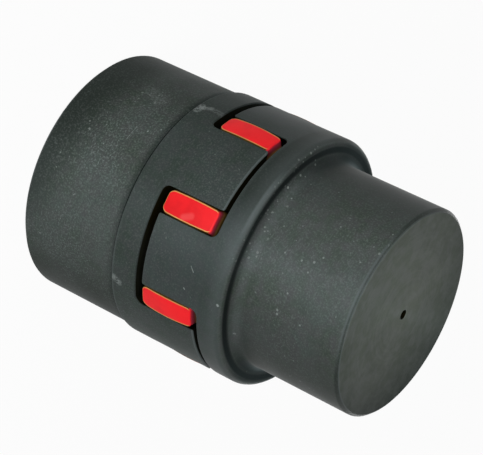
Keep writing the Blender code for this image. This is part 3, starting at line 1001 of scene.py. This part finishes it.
# Painted shade: dark olive on the flanks and low places.
OLIVE_SHADE = (0.034, 0.022, 0.001)
# Pale pink of a painted highlight.
PAINTED_HIGHLIGHT = (0.80, 0.13, 0.13)
HIGHLIGHT_SPOT = (273.6, 55.6), (271.9, 57.8)  # azimuth and height of a painted highlight on the middle arm
HIGHLIGHT_SPOT_WIDTH = 1.5
END_DEPTH = 5.0  # millimetres under the tip over which the stops below run
# Painted shade: the arms' ends darken from red through purple and brown to olive with depth.
END_SHADE_STOPS = (
    (0.00, (0.72, 0.008, 0.014)), (0.08, (0.62, 0.030, 0.050)), (0.22, (0.46, 0.040, 0.075)),
    (0.40, (0.30, 0.050, 0.050)), (0.56, (0.34, 0.170, 0.050)), (0.75, (0.100, 0.066, 0.010)),
    (1.00, (0.050, 0.034, 0.003)),
)


def elastomer_finish():
    """Depth under the tip is the tip's radius, less the crown's fall with the square of the way
    from the middle, less the point's own radius. It paints low places in olive shade and paints
    shade into the ends.
    """
    red = Finish("spider_elastomer", IOR=1.5, Specular_IOR_Level=0.15)
    at = located(red)
    away = (at.z - SPIDER_MIDDLE) / SPIDER_HALF_WIDTH
    under = ARM_TIP_R - away * away * ARM_TIP_CROWN - at.radius
    past = red.node("ShaderNodeAttribute", {"attribute_name": "past_edge"}, {}, "Fac")
    lower_end = (SPIDER_MIDDLE - SPIDER_HALF_WIDTH + 0.06) - at.z
    past = past.maths("MAXIMUM", lower_end)
    rim = past.band(-0.26, -0.16, 0.02, 0.14)
    # Painted shade: past the tip's edge or below the crown the arm turns olive.
    deep = past.ramp(0.02, 0.16).maths("MAXIMUM", under.ramp(0.34, 0.5))

    cloud = red.noise(150, 3, 0.5)
    # Painted light: arms to both sides are lighter, over a random cloud.
    cloud_and_side_light = cloud.ramp(0.35, 0.65) * 0.55 + at.x.ramp(-6, -26) * 0.55 + at.x.ramp(6, 26) * 0.3
    face = red.mix(cloud_and_side_light, FACE_DEEP, FACE_BRIGHT)
    # Painted highlight: a pale spot on the middle arm.
    face = red.mix(stroke(red, at, *HIGHLIGHT_SPOT, HIGHLIGHT_SPOT_WIDTH) * 0.25, face, PAINTED_HIGHLIGHT)
    side = red.mix(deep, red.mix(rim, face, GOLD), OLIVE_SHADE)
    # Painted shade on the ends, darker the deeper under the tip.
    end = red.node("ShaderNodeValToRGB", {"stops": END_SHADE_STOPS}, {"Fac": under / END_DEPTH}, "Color")
    upper_end = SPIDER_MIDDLE + SPIDER_HALF_WIDTH
    red.feed("Base Color", red.mix(at.z.ramp(upper_end - 0.9, upper_end - 0.2), side, end))
    red.feed("Roughness", cloud * 0.12 + 0.40 + deep * 0.2)
    red.feed("Normal", red.bump(red.noise(700, 3, 0.5) * 0.3 + red.noise(230, 1, 0.4), 0.10))
    print("spider_elastomer has", len(red.tree.nodes), "nodes")
    return red.material


spider.data.materials.append(elastomer_finish())

# %% [markdown]
# ## Pieces ride on the frame
# The coupling is modelled at rest and has no joints, so its one body is called root. Each new piece
# rides on it and stands for one solid of the CAD model.

# %% Ride on the root and replace the CAD parts
for piece, node, slot in (
    (large_hub, "large_hub", "large_hub_iron"),
    (small_hub, "small_hub", "small_hub_iron"),
    (spider, "spider", "spider_elastomer"),
):
    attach(piece, "root")
    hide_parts(node)
    print(piece.name, "stands for", node)

# %% [markdown]
# ## Floor, world and lamps
# The photograph has a plain white ground. A white floor lit as plainly as the object would look
# grey, and more light would bleach the object. So for rays from the camera, and for those that a
# gloss or a glass sends on, the floor and the world glow at strength 1, and the floor keeps a
# little of its own light so that the shadow stays.

# %% Floor and world
FLOOR_Z = -0.02  # just under the hub, so that the two faces don't flicker
FLOOR_GLOW = 0.95  # share of the glow in what the camera sees of the floor
STUDIO_LEVEL, GROUND_LEVEL = 0.05, 1.0  # the world's strength on the object, and as a ground


def floor_grid(radius, rings, steps):
    """A flat disc as a polar grid: rings of points, whose radius grows with the square."""
    r = radius * np.linspace(0, 1, rings)[:, None] ** 2
    t = spread(0, 2 * np.pi, steps, closed=False)
    return np.stack(np.broadcast_arrays(r * np.cos(t), r * np.sin(t), FLOOR_Z), -1)


floor = closed_surface("floor", [floor_grid(radius=4000, rings=12, steps=64)])
paper = Finish("white_floor", Roughness=0.9)
paper.shader.inputs["Base Color"].default_value = (0.86, 0.86, 0.86, 1)
paths = paper.node("ShaderNodeLightPath", {}, {}, "Is Camera Ray")
seen = paths.maths("MAXIMUM", paths.output("Is Glossy Ray"))
seen = seen.maths("MAXIMUM", paths.output("Is Transmission Ray"))
glow = paper.node("ShaderNodeEmission", {}, {"Color": (1, 1, 1, 1), "Strength": 1.0})
plain = Value(paper, paper.shader.outputs[0])
both = paper.node("ShaderNodeMixShader", {}, {0: seen * FLOOR_GLOW, 1: plain, 2: glow})
paper.tree.links.new(both.socket, paper.tree.nodes["Material Output"].inputs["Surface"])
floor.data.materials.append(paper.material)

world = bpy.data.worlds.new("white_studio")
bpy.context.scene.world = world
world.use_nodes = True
studio = world.node_tree
path = studio.nodes.new("ShaderNodeLightPath")
background = studio.nodes["Background"]
background.inputs["Color"].default_value = (1, 1, 1, 1)
level = studio.nodes.new("ShaderNodeMapRange")
level.inputs["To Min"].default_value = STUDIO_LEVEL
level.inputs["To Max"].default_value = GROUND_LEVEL
seen_by = path.outputs["Is Camera Ray"]
for ray in ("Is Glossy Ray", "Is Transmission Ray"):
    either = studio.nodes.new("ShaderNodeMath")
    either.operation = "MAXIMUM"
    studio.links.new(seen_by, either.inputs[0])
    studio.links.new(path.outputs[ray], either.inputs[1])
    seen_by = either.outputs[0]
studio.links.new(seen_by, level.inputs["Value"])
studio.links.new(level.outputs["Result"], background.inputs["Strength"])

# %% [markdown]
# One broad lamp stands low in front, nearly in line with the camera, and gives the bodies their
# long soft highlight. A weak one on the left and one above the front open up the shadows, and a low
# strip behind draws a fine light line along the far side. Spots would give hard-edged highlights
# and shadows, which the photograph doesn't have, so all are area lamps.

# %% Lamps
def lamp(name, azimuth, elevation, distance, width, height, power):
    """A rectangular area lamp aimed at the coupling's middle."""
    a, e = np.radians((azimuth, elevation))
    middle = Vector((0, 0, COUPLING_LENGTH / 2 * MM))
    away = Vector((np.cos(a) * np.cos(e), np.sin(a) * np.cos(e), np.sin(e)))
    light = bpy.data.lights.new(name, "AREA")
    light.shape, light.energy = "RECTANGLE", power
    light.size, light.size_y = width, height
    made = bpy.data.objects.new(name, light)
    bpy.context.scene.collection.objects.link(made)
    made.location = middle + away * distance
    made.rotation_mode = "QUATERNION"
    made.rotation_quaternion = away.to_track_quat("Z", "Y")
    print(name, "gives", power, "W")


# name, azimuth and elevation in degrees, then distance, width and height in metres, and watts
lamp("key", 283, 5, 1.1, 0.7, 0.6, 13.5)
lamp("left_fill", 230, 20, 1.1, 0.7, 0.7, 2.0)
lamp("top_front", 285, 55, 1.1, 0.5, 0.5, 3.5)
lamp("back_strip", 90, -1, 1.0, 1.0, 0.1, 3)
